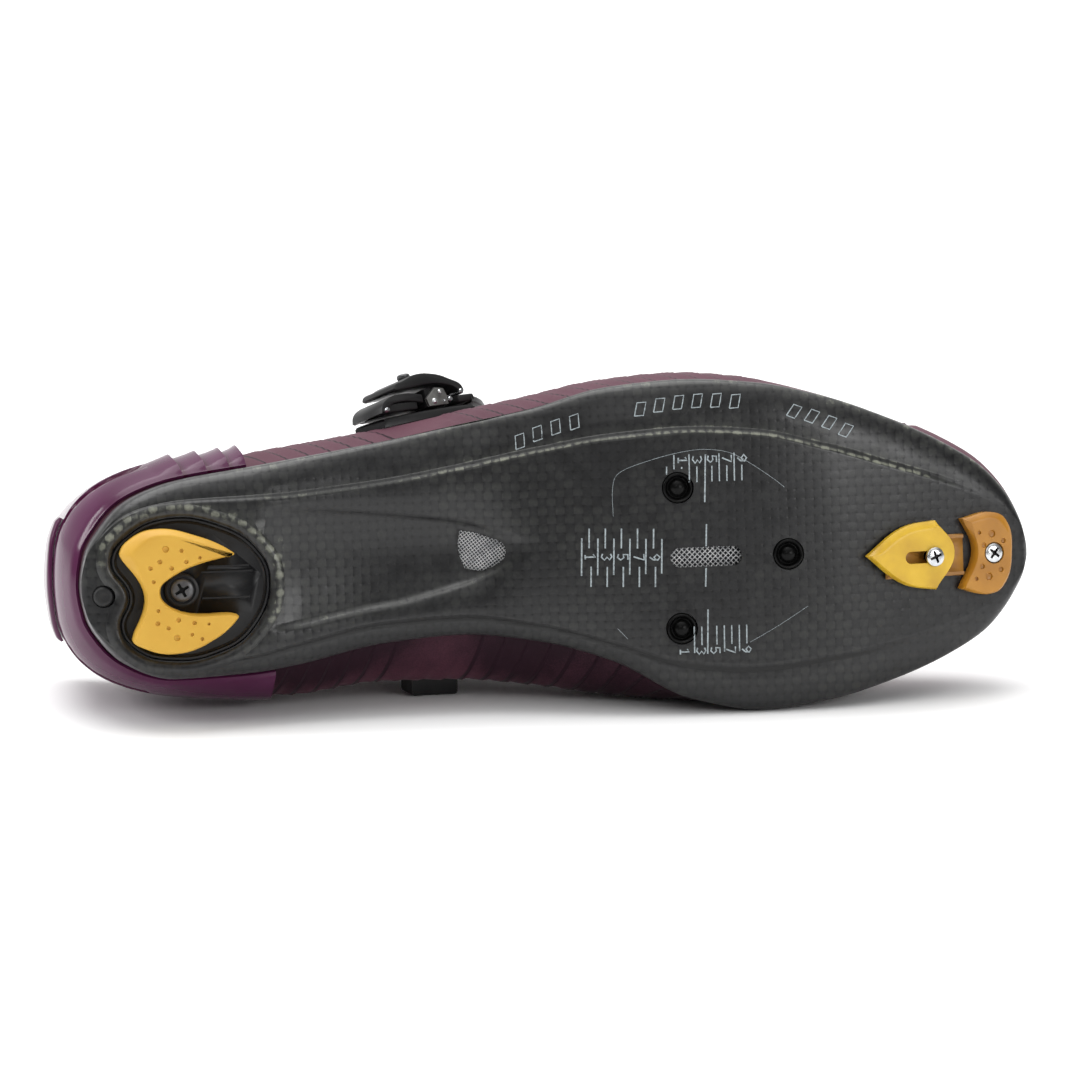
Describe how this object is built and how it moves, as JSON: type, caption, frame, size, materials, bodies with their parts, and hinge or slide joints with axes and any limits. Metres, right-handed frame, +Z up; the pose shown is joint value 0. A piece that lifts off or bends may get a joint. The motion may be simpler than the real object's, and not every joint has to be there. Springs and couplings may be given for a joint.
{
  "type": "road cycling shoe",
  "caption": "Right road cycling shoe lying on its inner side: plum upper, glossy heel cup, ratchet buckle and a stiff woven carbon sole with vents, heel pad and toe vent slider.",
  "frame": {"origin": "middle of the bounding box on the floor, under the shoe as it lies on its inner side", "axes": "+X towards the toe, +Y from the sole towards the collar, +Z up, towards the outer side of the shoe"},
  "size_m": [0.2906, 0.1258, 0.0973],
  "materials": {
    "plum_microfibre": "matte ribbed microfibre",
    "glossy_plum": "glossy moulded plastic",
    "woven_carbon": "satin woven carbon laminate",
    "black_plastic": "matt black plastic",
    "black_rubber": "matt black rubber",
    "yellow_rubber": "yellow rubber with small pits",
    "ochre_plastic": "ochre plastic",
    "tan_plastic": "tan plastic",
    "bright_steel": "bright steel",
    "grey_mesh": "grey woven mesh",
    "foam": "cloth over foam"
  },
  "bodies": {
    "shoe": {"outsole": "woven_carbon", "upper": "plum_microfibre", "insole": "foam", "tongue": "foam", "heel_counter": "glossy_plum", "heel_clip": "glossy_plum", "heel_pad_tray": "black_plastic", "heel_pad": "yellow_rubber", "heel_pad_screw": "bright_steel", "heel_button_plug": "black_rubber", "bolt_plug_outer": "black_rubber", "bolt_plug_inner": "black_rubber", "bolt_plug_toe": "black_rubber", "forefoot_vent_screen": "grey_mesh", "arch_vent_screen": "grey_mesh", "toe_rail": "tan_plastic", "slider_screw": "bright_steel", "toe_pad": "ochre_plastic", "toe_pad_screw": "bright_steel", "instep_strap": "black_plastic", "forefoot_strap": "plum_microfibre", "strap_anchor": "black_plastic", "buckle_base": "black_plastic", "buckle_side_plate_low": "bright_steel", "buckle_side_plate_high": "bright_steel", "buckle_body": "black_plastic", "buckle_front_block": "black_plastic", "ratchet_ladder": "black_plastic", "buckle_lever": "black_plastic", "buckle_button": "bright_steel"},
    "slider": {"vent_slider": "ochre_plastic"}
  },
  "joints": [
    {"name": "vent_slide", "type": "slide", "parent": "shoe", "child": "slider", "axis": [0.9634, 0.2658, -0.0356], "range_m": [0, 0.006]}
  ]
}
